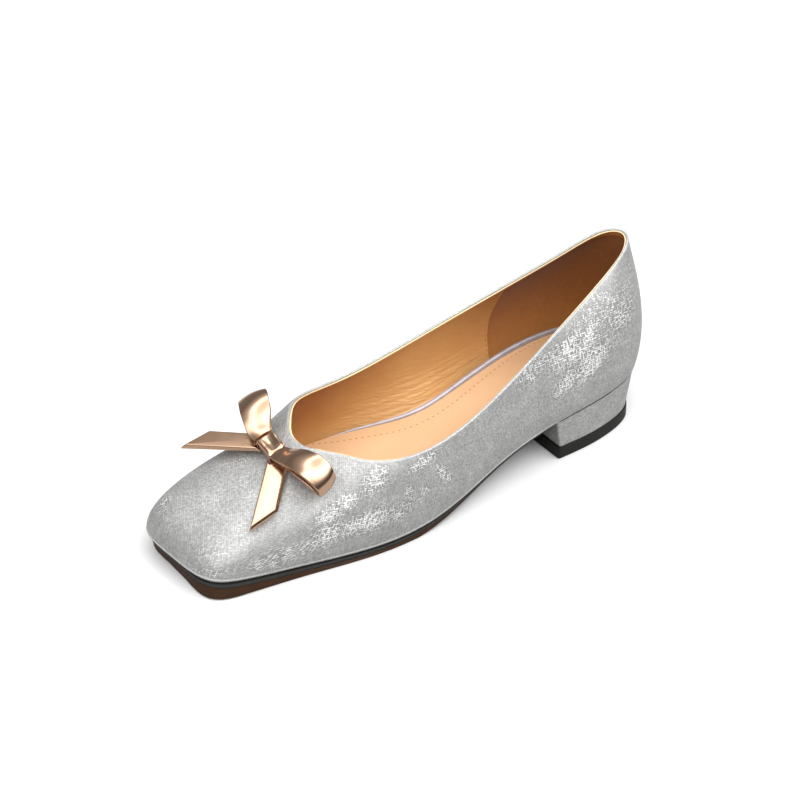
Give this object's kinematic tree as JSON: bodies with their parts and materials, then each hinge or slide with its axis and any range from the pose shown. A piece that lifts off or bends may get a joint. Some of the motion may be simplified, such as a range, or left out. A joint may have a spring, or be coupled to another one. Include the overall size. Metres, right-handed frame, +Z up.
{
  "type": "casual pump shoe",
  "caption": "Square-toe court shoe with a low covered block heel, scraped silver leather upper, tan lining and a cast metal bow on the vamp; left foot.",
  "frame": {"origin": "middle of the shoe's box, on the floor plane that heel tip and ball of the outsole stand on", "axes": "+X from heel to toe, +Y to the outer side of the foot, +Z up"},
  "size_m": [0.2482, 0.0818, 0.0826],
  "materials": {
    "silver_leather": "scraped metallic silver with a fine woven emboss",
    "tan_leather": "smooth matte tan lining leather",
    "black_rubber": "matte moulded",
    "brown_rubber": "matte moulded",
    "champagne_metal": "satin champagne plating"
  },
  "bodies": {
    "root": {"upper": "silver_leather", "insole": "tan_leather", "sole_edge": "black_rubber", "outsole": "brown_rubber", "heel_block": "silver_leather", "heel_tip": "black_rubber", "bow_knot": "champagne_metal", "bow_loop_left": "champagne_metal", "bow_loop_right": "champagne_metal", "bow_tail_left": "champagne_metal", "bow_tail_right": "champagne_metal"}
  },
  "joints": []
}
